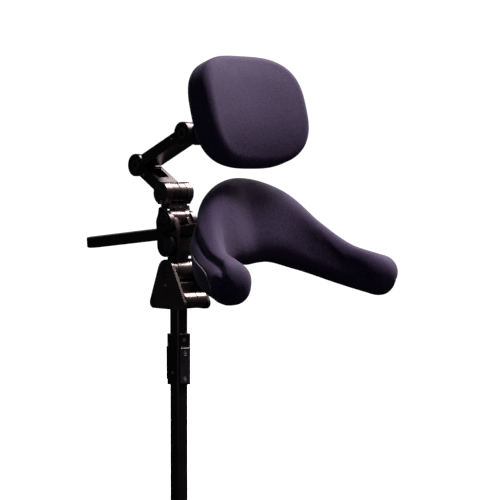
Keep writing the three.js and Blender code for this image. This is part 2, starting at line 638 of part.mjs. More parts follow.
// A crowned pad: a sphere stretched to a superellipse outline, its sides curled forward.
function headCushion() {
  const { width, height, thick, curl } = HEAD_PAD;
  const geometry = new THREE.SphereGeometry(1, 32, 12).rotateX(Math.PI / 2);
  const position = geometry.attributes.position;
  for (let index = 0; index < position.count; index += 1) {
    const latitude = Math.asin(THREE.MathUtils.clamp(position.getY(index), -1, 1));
    const around = Math.atan2(position.getZ(index), position.getX(index));
    const spread = Math.abs(Math.cos(latitude)) ** (2 / HEAD_PAD_EDGE);
    const side = power(Math.cos(around), HEAD_PAD_OUTLINE) * spread;
    const rise = power(Math.sin(around), HEAD_PAD_OUTLINE) * spread;
    const depth = power(Math.sin(latitude), HEAD_PAD_EDGE) * thick / 2 - curl * side * side;
    position.setXYZ(index, side * width / 2, depth, rise * height / 2);
  }
  return geometry;
}

// Catmull-Rom through the neck pad's stations, mirrored to both arms.
function neckStations(steps) {
  const mirrored = NECK_PAD.slice(1).toReversed().map(([side, ...rest]) => [-side, ...rest]);
  const keys = [...mirrored, ...NECK_PAD];
  const last = keys.length - 1;
  const beyond = (edge, inner) => edge.map((value, axis) => 2 * value - inner[axis]);
  const key = (index) => {
    if (index < 0) return beyond(keys[0], keys[1]);
    if (index > last) return beyond(keys[last], keys[last - 1]);
    return keys[index];
  };
  const stations = [];
  for (let step = 0; step <= last * steps; step += 1) {
    const index = Math.min(Math.floor(step / steps), last - 1);
    const t = step / steps - index;
    const [a, b, c, d] = [key(index - 1), key(index), key(index + 1), key(index + 2)];
    stations.push(b.map((_, axis) => catmullRom(t, a[axis], b[axis], c[axis], d[axis])));
  }
  return stations;
}

function catmullRom(t, a, b, c, d) {
  const linear = c - a;
  const square = 2 * a - 5 * b + 4 * c - d;
  const cube = 3 * b - a - 3 * c + d;
  return 0.5 * (2 * b + linear * t + square * t * t + cube * t ** 3);
}

// One ring of the neck pad round a station, its section leaning outward at the top.
function neckRing(point, along, [, , , halfHeight, halfThick, lean], sides) {
  const outward = new THREE.Vector3().crossVectors(along, new THREE.Vector3(0, 0, 1)).normalize();
  if (outward.y < 0 && Math.abs(along.y) < 0.99) outward.negate();
  const up = new THREE.Vector3().crossVectors(outward, along).normalize();
  if (up.z < 0) up.negate();
  const tilt = lean * DEG;
  const across = outward.clone().multiplyScalar(Math.cos(tilt)).addScaledVector(up, -Math.sin(tilt));
  const rise = up.clone().multiplyScalar(Math.cos(tilt)).addScaledVector(outward, Math.sin(tilt));
  const ring = [];
  for (let index = 0; index < sides; index += 1) {
    const angle = 2 * Math.PI * index / sides;
    ring.push(point.clone()
      .addScaledVector(across, power(Math.cos(angle), NECK_PAD_EDGE) * halfThick)
      .addScaledVector(rise, power(Math.sin(angle), NECK_PAD_EDGE) * halfHeight));
  }
  return ring;
}

// Rings that close an arm's tip in a round nose.
function tipRings(ring, point, outwards) {
  return [0.25, 0.5, 0.72, 0.9].map((share) => {
    const angle = share * Math.PI / 2;
    const centre = point.clone().addScaledVector(outwards, NECK_TIP * Math.sin(angle));
    return ring.map((corner) => corner.clone().sub(point).multiplyScalar(Math.cos(angle)).add(centre));
  });
}

// A closed skin over a row of rings, with one point closing each end.
function skinOver(rings, startPoint, endPoint) {
  const sides = rings[0].length;
  const points = [...rings.flat(), startPoint, endPoint];
  const faces = [];
  for (let index = 0; index < sides; index += 1) {
    const next = (index + 1) % sides;
    for (let row = 0; row + 1 < rings.length; row += 1) {
      const here = row * sides;
      const there = here + sides;
      faces.push(here + index, here + next, there + next, here + index, there + next, there + index);
    }
    const top = (rings.length - 1) * sides;
    faces.push(points.length - 2, next, index, points.length - 1, top + index, top + next);
  }
  const geometry = new THREE.BufferGeometry().setFromPoints(points);
  geometry.setIndex(faces);
  return geometry;
}

function neckCushion() {
  const stations = neckStations(3);
  const path = stations.map(([side, forward, up]) => new THREE.Vector3(side, -forward, up));
  const direction = (index) => path[Math.min(index + 1, path.length - 1)].clone()
    .sub(path[Math.max(index - 1, 0)]).normalize();
  const rings = stations.map((station, index) => neckRing(path[index], direction(index), station, 14));
  const last = path.length - 1;
  const startOut = direction(0).negate();
  const endOut = direction(last);
  const startTip = tipRings(rings[0], path[0], startOut).toReversed();
  const endTip = tipRings(rings[last], path[last], endOut);
  return skinOver(
    [...startTip, ...rings, ...endTip],
    path[0].clone().addScaledVector(startOut, NECK_TIP),
    path[last].clone().addScaledVector(endOut, NECK_TIP),
  );
}

function neckPad(group, rod) {
  const ballAlong = NECK_BALL / Math.cos(ROD.slope * DEG);
  const joint = frameAt([ballAlong, 0]);
  rod.add(joint);
  add(joint, 'neck_ball_stud', ballStud(24), blackSteel());
  add(joint, 'neck_socket_liner', socketLiner(), blackPlastic());
  add(joint, 'neck_socket_cup', socketCup(), anodised());
  add(joint, 'neck_retainer_ring', retainerRing(), blackSteel());

  const { radius, thick, halfAngle, halfHeight, forward, up } = NECK_SHELL;
  const start = (90 - halfAngle) * DEG;
  const end = (90 + halfAngle) * DEG;
  const shape = new THREE.Shape();
  shape.absarc(0, 0, radius + thick, start, end);
  shape.absarc(0, 0, radius, end, start, true);
  shape.closePath();
  const shell = new THREE.Group();
  shell.position.set(0, -forward, up);
  shell.rotation.x = -ROD.slope * DEG;
  add(shell, 'neck_pad_shell', upright(shape, -halfHeight, halfHeight), blackPlastic());
  group.add(shell);
  add(group, 'neck_cushion', neckCushion(), fabric());
}

function headPad(group) {
  const frame = headPadFrame();
  const centre = [HEAD_PAD.forward, HEAD_PAD.up];
  const lean = HEAD_PAD.lean * DEG;
  const ballAt = [centre[0] + HEAD_BALL_BACK * Math.cos(lean), centre[1] + HEAD_BALL_BACK * Math.sin(lean)];

  const bracket = frameAt(UPPER, climbOf(UPPER, ballAt));
  const reach = between(UPPER, ballAt);
  const half = SLIM_EAR_INNER - GAP;
  const boss = alongForward(7.2, reach - 26, reach - 15, 0, FACETS.head);
  const arm = cut(
    join(tongue(KNUCKLE_R - 0.5, half, reach - 22, 6), boss),
    disc([0, 0], BOLT.bore, -HALF_WIDE, HALF_WIDE, FACETS.bore),
    alongForward(BALL.stem + GAP, reach - 25, reach, 0),
  );
  add(bracket, 'upper_bracket', arm, anodised());
  const stud = new THREE.Group();
  stud.position.set(0, -reach, 0);
  add(stud, 'head_ball_stud', ballStud(24), blackSteel());
  bracket.add(stud);
  group.add(bracket);

  const joint = frameAt([HEAD_BALL_BACK, 0]);
  add(joint, 'head_socket_liner', socketLiner(), blackPlastic());
  add(joint, 'head_socket_cup', socketCup(), anodised());
  add(joint, 'head_retainer_ring', retainerRing(), blackSteel());
  frame.add(joint);
  const shell = new THREE.ExtrudeGeometry(
    roundedRectangle(HEAD_SHELL.width, HEAD_SHELL.height, HEAD_SHELL.corner),
    { depth: HEAD_SHELL.thick, bevelEnabled: false, curveSegments: 6 },
  );
  shell.rotateX(Math.PI / 2).translate(0, -HEAD_BACK + HEAD_SHELL.thick, 0);
  add(frame, 'head_pad_shell', shell, blackPlastic());
  add(frame, 'head_cushion', headCushion(), fabric());
  group.add(frame);
}

// ---------------------------------------------------------------- assembly
const support = new THREE.Group();
const mountFace = RECEIVER.side / 2 + GAP + MOUNT.thickness;
support.position.set(0, mountFace, -(MOUNT.low + MOUNT.high) / 2);

receiver(support);
post(support);
stopCollar(support);
baseKnuckle(support);
hub(support);
const rod = depthRod(support);
support.add(rod);
neckPad(support, rod);
middleLink(support);
rearLink(support);
longLink(support);
headPad(support);

export default support;
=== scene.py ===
"""Looks of the head and neck support: a padded head cushion and a U-shaped neck cushion on
black anodised links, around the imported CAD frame. Metres, +Z up, the pads face -Y."""

import json
import math

import bmesh
import bpy
import numpy as np
from mathutils import Matrix, Vector


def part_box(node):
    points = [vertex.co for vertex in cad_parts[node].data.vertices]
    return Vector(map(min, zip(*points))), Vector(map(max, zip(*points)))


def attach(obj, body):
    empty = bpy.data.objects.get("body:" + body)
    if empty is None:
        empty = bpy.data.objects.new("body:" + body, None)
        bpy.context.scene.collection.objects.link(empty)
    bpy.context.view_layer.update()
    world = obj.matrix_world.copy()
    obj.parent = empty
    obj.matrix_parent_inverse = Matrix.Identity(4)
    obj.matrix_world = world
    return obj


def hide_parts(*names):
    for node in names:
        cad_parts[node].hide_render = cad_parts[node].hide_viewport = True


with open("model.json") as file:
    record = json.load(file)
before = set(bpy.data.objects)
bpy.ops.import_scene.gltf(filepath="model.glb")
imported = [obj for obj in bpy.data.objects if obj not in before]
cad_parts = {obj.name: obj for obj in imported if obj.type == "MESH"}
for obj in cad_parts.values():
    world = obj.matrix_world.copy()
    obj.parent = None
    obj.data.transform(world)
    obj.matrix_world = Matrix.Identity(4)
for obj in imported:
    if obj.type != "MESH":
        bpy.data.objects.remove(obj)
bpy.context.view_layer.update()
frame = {"nodes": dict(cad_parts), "record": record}

MM = 0.001


# ---------------------------------------------------------------- camera, stage and lights
EYE_AZIMUTH = math.radians(-43.0)     # 0 looks along +Y
EYE_PITCH = math.radians(2.58)        # looking down
EYE_DISTANCE = 2.04125
EYE_LENS = 127.8
SENSOR = 36
AIM_UP = 425.5 * MM                   # what the eye aims at, from the post's lower end
AIM_RIGHT = 82.3 * MM
AIM_DOWN = 92.0 * MM


def post_axis():
    """The middle of the post's lower end."""
    low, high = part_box("post_bar")
    return Vector(((low[0] + high[0]) / 2, (low[1] + high[1]) / 2, low[2]))


def make_camera():
    """Camera at eye height with the pads, the post left of the middle and leaving the frame below."""
    backward = Vector((math.sin(EYE_AZIMUTH), -math.cos(EYE_AZIMUTH), 0))
    right = Vector((math.cos(EYE_AZIMUTH), math.sin(EYE_AZIMUTH), 0))
    rear = backward * math.cos(EYE_PITCH) + Vector((0, 0, math.sin(EYE_PITCH)))
    up = rear.cross(right)
    aim = post_axis() + Vector((0, 0, AIM_UP)) + right * AIM_RIGHT - up * AIM_DOWN
    data = bpy.data.cameras.new("camera")
    data.lens = EYE_LENS
    data.sensor_width = SENSOR
    data.clip_end = 50
    camera = bpy.data.objects.new("camera", data)
    turn = Matrix((right, up, rear)).transposed().to_4x4()
    camera.matrix_world = Matrix.Translation(aim + rear * EYE_DISTANCE) @ turn
    bpy.context.scene.collection.objects.link(camera)
    bpy.context.scene.camera = camera


def new_object(name, mesh):
    obj = bpy.data.objects.new(name, mesh)
    bpy.context.scene.collection.objects.link(obj)
    return obj


FLOOR_GAP = 2 * MM                    # below the post's end cap
STAGE_RADIUS = 4.0
SWEEP = 1.2                           # radius of the bend from floor to wall
SWEEP_STEPS = 6
WALL_TOP = 5.0
STAGE_SIDES = 64
PAINTED_SHADOW_WITHIN = 0.35                     # painted shadow: the floor glows less inside the first distance
BRIGHT_BEYOND = 1.3
PAINTED_SHADOW_GLOW = 0.62
FULL_GLOW = 1.0


def pale_material():
    """Matt white with light of its own, and a painted shadow: it glows less under the object, where its
    shadow falls.
    """
    m = Nodes("studio_pale")
    m.shader.inputs["Base Color"].default_value = (0.8, 0.8, 0.8, 1)
    m.shader.inputs["Roughness"].default_value = 0.9
    m.shader.inputs["Emission Color"].default_value = (1, 1, 1, 1)
    distance = m.add("ShaderNodeVectorMath", operation="LENGTH")
    m.link(m.place(), distance.inputs[0])
    # painted shadow: the glow falls off towards the object
    painted_shadow_ramp = m.add("ShaderNodeMapRange")
    painted_shadow_ramp.inputs["From Min"].default_value = PAINTED_SHADOW_WITHIN
    painted_shadow_ramp.inputs["From Max"].default_value = BRIGHT_BEYOND
    painted_shadow_ramp.inputs["To Min"].default_value = PAINTED_SHADOW_GLOW
    painted_shadow_ramp.inputs["To Max"].default_value = FULL_GLOW
    m.link(distance.outputs["Value"], painted_shadow_ramp.inputs["Value"])
    m.link(painted_shadow_ramp.outputs["Result"], m.shader.inputs["Emission Strength"])
    return m.material


def make_stage():
    """A pale floor that sweeps up into a pale backdrop all round."""
    floor_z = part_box("post_end_cap")[0][2] - FLOOR_GAP
    flat = STAGE_RADIUS - SWEEP
    bend = [math.radians(90 * step / SWEEP_STEPS) for step in range(1, SWEEP_STEPS + 1)]
    rings = [(0.0, 0.0), (1.0, 0.0), (flat, 0.0)]
    rings += [(flat + SWEEP * math.sin(angle), SWEEP - SWEEP * math.cos(angle)) for angle in bend]
    rings += [(STAGE_RADIUS, WALL_TOP)]
    mesh = bmesh.new()
    rows = []
    for distance, height in rings:
        if distance == 0:
            rows.append([mesh.verts.new((0, 0, floor_z))])
            continue
        angles = [2 * math.pi * side / STAGE_SIDES for side in range(STAGE_SIDES)]
        z = floor_z + height
        ring = [(distance * math.cos(angle), distance * math.sin(angle), z) for angle in angles]
        rows.append([mesh.verts.new(point) for point in ring])
    for side in range(STAGE_SIDES):
        mesh.faces.new((rows[0][0], rows[1][side], rows[1][(side + 1) % STAGE_SIDES]))
    for inner, outer in zip(rows[1:], rows[2:]):
        for side in range(STAGE_SIDES):
            after = (side + 1) % STAGE_SIDES
            mesh.faces.new((inner[side], outer[side], outer[after], inner[after]))
    data = bpy.data.meshes.new("studio_floor")
    mesh.to_mesh(data)
    mesh.free()
    data.shade_smooth()
    floor = new_object("studio_floor", data)
    data.materials.append(pale_material())
    floor.visible_diffuse = False
    floor.visible_glossy = False


def area_light(name, place, size, power, color):
    data = bpy.data.lights.new(name, "AREA")
    data.shape = "RECTANGLE"
    data.size, data.size_y = size
    data.energy = power
    data.color = color
    light = bpy.data.objects.new(name, data)
    light.location = place
    light.rotation_euler = (Vector(LIGHTS_AIM) - Vector(place)).to_track_quat("-Z", "Y").to_euler()
    bpy.context.scene.collection.objects.link(light)


LIGHTS_AIM = (0, -0.08, 0.2)
LIGHTS = (                            # name, place, size in metres, power in watts, colour
    ("key", (0.68, -0.62, 2.28), (0.6, 0.6), 50, (1.0, 0.94, 0.99)),
    ("side", (1.4, 0.0, 1.45), (1.2, 0.9), 62, (1.0, 0.90, 0.90)),
    ("front", (0.7, -2.0, 1.2), (0.7, 0.7), 3, (1.0, 0.95, 1.0)),
    ("back", (0.9, 2.1, 1.1), (1.4, 1.4), 9, (0.92, 0.94, 1.0)),
    ("fill", (-2.1, 0.9, 0.5), (1.0, 1.2), 0.8, (0.80, 0.80, 1.0)),
    ("glint", (-1.75, -1.5, 0.3), (0.35, 1.0), 0.8, (0.85, 0.88, 1.0)),
)


def make_lights():
    """A key high in front, a broad box on the right, and weak soft light from the other sides."""
    for name, place, size, power, color in LIGHTS:
        area_light(name, place, size, power, color)
    world = bpy.data.worlds.new("studio")
    world.use_nodes = True
    world.node_tree.nodes["Background"].inputs["Color"].default_value = (0.85, 0.88, 1.0, 1)
    world.node_tree.nodes["Background"].inputs["Strength"].default_value = 0.015
    bpy.context.scene.world = world
    bpy.context.scene.view_settings.view_transform = "Standard"
    bpy.context.scene.view_settings.look = "None"


# ---------------------------------------------------------------- materials
class Nodes:
    """A short way to build a node material."""

    def __init__(self, name):
        self.material = bpy.data.materials.new(name)
        self.material.use_nodes = True
        self.tree = self.material.node_tree
        self.shader = self.tree.nodes["Principled BSDF"]

    def add(self, kind, **values):
        node = self.tree.nodes.new(kind)
        for key, value in values.items():
            setattr(node, key, value)
        return node

    def link(self, output, socket):
        self.tree.links.new(output, socket)

    def place(self):
        """The piece's own coordinates in metres."""
        return self.add("ShaderNodeTexCoord").outputs["Object"]

    def noise(self, scale, detail, roughness, stretch=(1, 1, 1)):
        mapping = self.add("ShaderNodeMapping")
        mapping.inputs["Scale"].default_value = stretch
        self.link(self.place(), mapping.inputs["Vector"])
        node = self.add("ShaderNodeTexNoise")
        node.inputs["Scale"].default_value = scale
        node.inputs["Detail"].default_value = detail
        node.inputs["Roughness"].default_value = roughness
        self.link(mapping.outputs["Vector"], node.inputs["Vector"])
        return node.outputs["Fac"]

    def ramp(self, value, stops):
        """A colour or grey that follows a value through (position, colour) stops."""
        node = self.add("ShaderNodeValToRGB")
        elements = node.color_ramp.elements
        while len(elements) < len(stops):
            elements.new(0.5)
        for element, (position, color) in zip(elements, stops):
            element.position = position
            element.color = (*color, 1) if isinstance(color, tuple) else (color, color, color, 1)
        self.link(value, node.inputs["Fac"])
        return node.outputs["Color"]

    def mix(self, factor, first, second, blend="MIX"):
        node = self.add("ShaderNodeMix", data_type="RGBA", blend_type=blend)
        for socket, value in ((node.inputs[0], factor), (node.inputs[6], first), (node.inputs[7], second)):
            if isinstance(value, bpy.types.NodeSocket):
                self.link(value, socket)
            elif isinstance(value, tuple):
                socket.default_value = (*value, 1)
            else:
                socket.default_value = value
        return node.outputs[2]

    def bump(self, height, distance, strength=1.0, under=None):
        node = self.add("ShaderNodeBump")
        node.inputs["Distance"].default_value = distance
        node.inputs["Strength"].default_value = strength
        self.link(height, node.inputs["Height"])
        if under is not None:
            self.link(under, node.inputs["Normal"])
        return node.outputs["Normal"]


def knit_material(name, shade, flecks, sheen):
    """Fine stretch knit: heathered yarn colour, small loops and a soft nap."""
    m = Nodes(name)
    loops = m.add("ShaderNodeTexVoronoi")
    loops.inputs["Scale"].default_value = 1150
    m.link(m.place(), loops.inputs["Vector"])
    heather = m.noise(520, 3.0, 0.75)
    cloudy = m.noise(28, 3.0, 0.55)
    yarn = m.ramp(heather, [(0.36, shade), (0.66, flecks)])
    gaps = m.ramp(loops.outputs["Distance"], [(0.15, 1.0), (0.75, 0.72)])
    tone = m.ramp(cloudy, [(0.3, 0.86), (0.7, 1.0)])
    color = m.mix(1.0, m.mix(1.0, yarn, gaps, "MULTIPLY"), tone, "MULTIPLY")
    m.link(color, m.shader.inputs["Base Color"])
    m.link(m.ramp(heather, [(0.3, 0.78), (0.7, 0.95)]), m.shader.inputs["Roughness"])
    m.shader.inputs["Sheen Weight"].default_value = sheen
    m.shader.inputs["Sheen Roughness"].default_value = 0.45
    m.shader.inputs["Sheen Tint"].default_value = (0.75, 0.66, 0.85, 1)
    fine = m.bump(loops.outputs["Distance"], 0.25 * MM, 0.7)
    m.link(m.bump(heather, 0.3 * MM, 0.5, fine), m.shader.inputs["Normal"])
    return m.material


def metal_material(name, color, worn, roughness, grain=(1, 1, 1)):
    """Dark finished metal: fine tool marks, uneven sheen and brighter worn edges."""
    m = Nodes(name)
    patches = m.noise(45, 1.0, 0.4)
    marks = m.noise(900, 2.0, 0.5, grain)
    edges = m.ramp(m.add("ShaderNodeNewGeometry").outputs["Pointiness"], [(0.54, 0.0), (0.64, 0.6)])
    tone = m.mix(1.0, m.ramp(patches, [(0.3, 0.82), (0.7, 1.0)]), color, "MULTIPLY")
    m.link(m.mix(edges, tone, worn), m.shader.inputs["Base Color"])
    low, high = roughness
    m.link(m.ramp(patches, [(0.2, low), (0.8, high)]), m.shader.inputs["Roughness"])
    m.shader.inputs["Metallic"].default_value = 0.9
    m.link(m.bump(marks, 0.01 * MM, 0.15), m.shader.inputs["Normal"])
    return m.material


def plastic_material(name, color):
    """Moulded plastic with a fine spark grain."""
    m = Nodes(name)
    grain = m.noise(1600, 2.0, 0.5)
    patches = m.noise(40, 3.0, 0.5)
    m.link(m.mix(1.0, m.ramp(patches, [(0.3, 0.8), (0.7, 1.0)]), color, "MULTIPLY"),
           m.shader.inputs["Base Color"])
    m.link(m.ramp(grain, [(0.3, 0.42), (0.7, 0.6)]), m.shader.inputs["Roughness"])
    m.link(m.bump(grain, 0.05 * MM, 0.5), m.shader.inputs["Normal"])
    return m.material


ALONG_X = (0.05, 1, 1)                # tool marks drawn out along the pivots


METALS = {                            # colour, worn edges, roughness between, way of the marks
    "anodised_black": ((0.070, 0.056, 0.060), (0.20, 0.17, 0.18), (0.27, 0.32)),
    "anodised_warm": ((0.17, 0.130, 0.128), (0.34, 0.27, 0.26), (0.25, 0.29), ALONG_X),
    "black_steel": ((0.14, 0.13, 0.135), (0.34, 0.32, 0.33), (0.25, 0.31)),
    "grey_steel": ((0.70, 0.66, 0.68), (0.85, 0.82, 0.82), (0.30, 0.45)),
}
KNITS = {                             # yarn in shade, its flecks, nap
    "pad_fabric": ((0.021, 0.010, 0.053), (0.090, 0.049, 0.150), 0.07),
    "thread": ((0.34, 0.33, 0.36), (0.60, 0.58, 0.61), 0.1),
}


def make_materials():
    made = {name: metal_material(name, *look) for name, look in METALS.items()}
    made["black_plastic"] = plastic_material("black_plastic", (0.010, 0.010, 0.011))
    made.update((name, knit_material(name, *look)) for name, look in KNITS.items())
    return made


# ---------------------------------------------------------------- CAD nodes kept as they are
SMALL_PIECES = ("screw", "nut", "bolt")
SMALL_BEVEL = 0.2 * MM
BEVEL = 0.55 * MM


def dress_frame(materials):
    """Every hard CAD node keeps its shape and gets fine bevelled edges and its own finish."""
    slots = {part["node"]: part["material_slot"] for part in frame["record"]["subparts"]}
    for name, obj in frame["nodes"].items():
        if name.endswith("cushion"):
            continue
        obj.data.materials.clear()
        obj.data.materials.append(materials[slots[name]])
        bevel_edges(obj, SMALL_BEVEL if name.endswith(SMALL_PIECES) else BEVEL)


def bevel_edges(obj, width):
    """Facets welded into whole faces, then a fine rounding on the edges between them."""
    for polygon in obj.data.polygons:
        polygon.use_smooth = True
    weld = obj.modifiers.new("weld", "WELD")
    weld.merge_threshold = 0.005 * MM
    flat = obj.modifiers.new("flat", "DECIMATE")
    flat.decimate_type = "DISSOLVE"
    flat.angle_limit = math.radians(1)
    bevel = obj.modifiers.new("edges", "BEVEL")
    bevel.limit_method = "ANGLE"
    bevel.angle_limit = math.radians(36)
    bevel.width = width
    bevel.segments = 2
    shade = obj.modifiers.new("shade", "WEIGHTED_NORMAL")
    shade.keep_sharp = True


# ---------------------------------------------------------------- padded pieces
# A pad is a grid of points, rows by columns, closed round its columns and capped at both ends.
def power(value, exponent):
    """A superellipse's coordinate from a sine or cosine."""
    return np.sign(value) * np.abs(value) ** (2 / exponent)


def grid_mesh(name, grid):
    """A closed mesh over a grid of points, with one point closing each end."""
    rows, columns = grid.shape[:2]
    ends = np.stack([grid[0].mean(0), grid[-1].mean(0)])
    points = np.concatenate([grid.reshape(-1, 3), ends])
    faces = []
    for row in range(rows - 1):
        for column in range(columns):
            after = (column + 1) % columns
            near, far = row * columns, (row + 1) * columns
            faces.append((near + column, near + after, far + after, far + column))
    top = (rows - 1) * columns
    for column in range(columns):
        after = (column + 1) % columns
        faces.append((rows * columns, after, column))
        faces.append((rows * columns + 1, top + column, top + after))
    mesh = bpy.data.meshes.new(name)
    mesh.from_pydata(points.tolist(), [], faces)
    mesh.update()
    solid = bmesh.new()
    solid.from_mesh(mesh)
    bmesh.ops.recalc_face_normals(solid, faces=solid.faces)
    solid.to_mesh(mesh)
    solid.free()
    mesh.shade_smooth()
    return mesh


def grid_normals(grid):
    """Unit normals of a grid, pointing out of the pad."""
    along = np.gradient(grid, axis=0)
    around = np.roll(grid, -1, 1) - np.roll(grid, 1, 1)
    normal = np.cross(along, around)
    normal /= np.maximum(np.linalg.norm(normal, axis=2, keepdims=True), 1e-12)
    middle = grid.mean(axis=(0, 1))
    centres = grid.mean(axis=1, keepdims=True) * 0.7 + middle * 0.3
    outward = np.sum(normal * (grid - centres)) > 0
    return normal if outward else -normal


def catmull_rom(t, a, b, c, d):
    square = 2 * a - 5 * b + 4 * c - d
    cube = 3 * b - a - 3 * c + d
    return 0.5 * (2 * b + (c - a) * t + square * t * t + cube * t ** 3)


def finer(grid, times):
    """The same grid with its rows and columns split by smooth interpolation."""
    for axis, closed in ((0, False), (1, True)):
        line = np.moveaxis(grid, axis, 0)
        if closed:
            ahead = [np.roll(line, -shift, 0) for shift in (-1, 0, 1, 2)]
        else:
            wide = np.concatenate([2 * line[:1] - line[1:2], line, 2 * line[-1:] - line[-2:-1]])
            ahead = [wide[shift:len(wide) - 3 + shift] for shift in range(4)]
        steps = [catmull_rom(step / times, *ahead) for step in range(times)]
        fine = np.stack(steps, 1).reshape(-1, *line.shape[1:])
        if not closed:
            fine = np.concatenate([fine, line[-1:]])
        grid = np.moveaxis(fine, 0, axis)
    return grid


CALMING = 8                       # smoothing passes over the swelling of the stretch cover
WRINKLES = 0.12                   # share of the fine wrinkles that its stretch leaves
SEAM_HOLD = 4.0                   # how far a neck pad seam holds the cover, in millimetres
HOLD_FROM = 0.15                  # a hold weaker than this is none
NECK_SWELL = 3.2 * MM             # the most that each cover may swell
HEAD_SWELL = 3.0 * MM
PRESSURE = 4
CLOTH_STEPS = 20


def inflated(name, grid, held, inset, cap):
    """The grid after a cloth simulation: it starts inset, seams hold and the cover swells."""
    start = grid - grid_normals(grid) * inset[..., None]
    obj = new_object(name, grid_mesh(name, start))
    group = obj.vertex_groups.new(name="held")
    for index, weight in enumerate(held.ravel().tolist()):
        group.add([index], weight, "REPLACE")
    cloth = obj.modifiers.new("cloth", "CLOTH")
    settings = cloth.settings
    settings.quality = 6
    settings.mass = 0.15
    settings.tension_stiffness = 12
    settings.compression_stiffness = 12
    settings.shear_stiffness = 6
    settings.bending_stiffness = 0.5
    settings.use_pressure = True
    settings.uniform_pressure_force = PRESSURE
    settings.vertex_group_mass = "held"
    settings.effector_weights.gravity = 0
    cloth.point_cache.frame_start = 1
    cloth.point_cache.frame_end = CLOTH_STEPS
    scene = bpy.context.scene
    for step in range(1, CLOTH_STEPS + 1):
        scene.frame_set(step)
    mesh = bpy.data.meshes.new_from_object(obj.evaluated_get(bpy.context.evaluated_depsgraph_get()))
    swollen = np.empty(len(mesh.vertices) * 3)
    mesh.vertices.foreach_get("co", swollen)
    swollen = swollen.reshape(-1, 3)[:held.size].reshape(grid.shape)
    scene.frame_set(1)
    bpy.data.objects.remove(obj)
    move = swollen - start
    length = np.linalg.norm(move, axis=2, keepdims=True)
    move *= np.minimum(1, cap / np.maximum(length, 1e-9))
    calm = move.copy()
    for _ in range(CALMING):
        calm[1:-1] = (calm[:-2] + 2 * calm[1:-1] + calm[2:]) / 4
        calm = (np.roll(calm, 1, 1) + 2 * calm + np.roll(calm, -1, 1)) / 4
    return start + calm + WRINKLES * (move - calm)


def near_line(place, line):
    """Distance of every grid point, placed flat as (along, round), from a drawn seam line."""
    best = np.full(place.shape[:2], 1e9)
    for first, last in zip(line[:-1], line[1:]):
        first, last = np.array(first, float), np.array(last, float)
        run = last - first
        share = np.clip(((place - first) @ run) / (run @ run), 0, 1)
        best = np.minimum(best, np.linalg.norm(place - first - share[..., None] * run, axis=2))
    return best


def bell(value, width):
    """1 where the value is 0, falling away on both sides."""
    return np.exp(-(value / width) ** 2)


def ease(value, low, high):
    """0 up to low, 1 from high, and smooth between them."""
    share = np.clip((value - low) / (high - low), 0, 1)
    return share * share * (3 - 2 * share)


def finish_pad(obj, node, body, material):
    """Dresses a cover and puts it in the place of its CAD cushion."""
    obj.data.materials.append(material)
    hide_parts(node)
    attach(obj, body)


def tube(name, points, radius, material, body):
    """A thin round cord of cover trim along a line of points."""
    curve = bpy.data.curves.new(name, "CURVE")
    curve.dimensions = "3D"
    curve.bevel_depth = radius
    curve.bevel_resolution = 2
    curve.use_fill_caps = True
    spline = curve.splines.new("POLY")
    spline.points.add(len(points) - 1)
    for point, place in zip(spline.points, points):
        point.co = (*place, 1)
    curve.materials.append(material)
    obj = new_object(name, curve)
    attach(obj, body)


# ---- neck pad
# stations from its middle to one tip, the same as the CAD cushion's, in millimetres:
# lateral, forward, up, half height, half thickness, outward lean of the section in degrees
NECK_PAD = (
    (0, 106, 367, 48, 20.5, 10),
    (36, 115.5, 361, 42, 21, 10),
    (71, 134, 341, 30, 19, 7),
    (97, 169, 320.5, 22.5, 18.5, 3),
    (111.5, 211.5, 309, 21.5, 20, 0),
)
NECK_EDGE = 2.4                   # superellipse exponent of its section
NECK_TIP = 19                     # how far the rounded tip runs past the last station
NECK_STEPS = 7                    # stations between two of the listed ones
NECK_SIDES = 40
ROUND_MM = 0.52                   # length on the cover of one degree round the section
NECK_FINER = 4                    # how many times finer the finished cover is than the cloth

# seam lines of one arm: distance from the pad's middle along it, and degrees round the
# section, 0 on the outside, 90 on top, 180 on the face that holds the neck
ROLL_SEAM = ((0, 50), (60, 54), (94, 60), (123, 67), (147, 70), (168, 66), (180, 54), (187, 30), (190, 0),
             (190, -60))
ZIP_SEAM = ((0, 8), (60, 9), (98, 12), (125, 17), (142, 18), (158, 11), (168, 0), (175, -12))
ZIP_END = 175                     # where it stops, along the pad from its middle
ZIP_POINTS = 180
ZIP_LIFT = 0.4 * MM
ZIP_RADIUS = 0.75 * MM


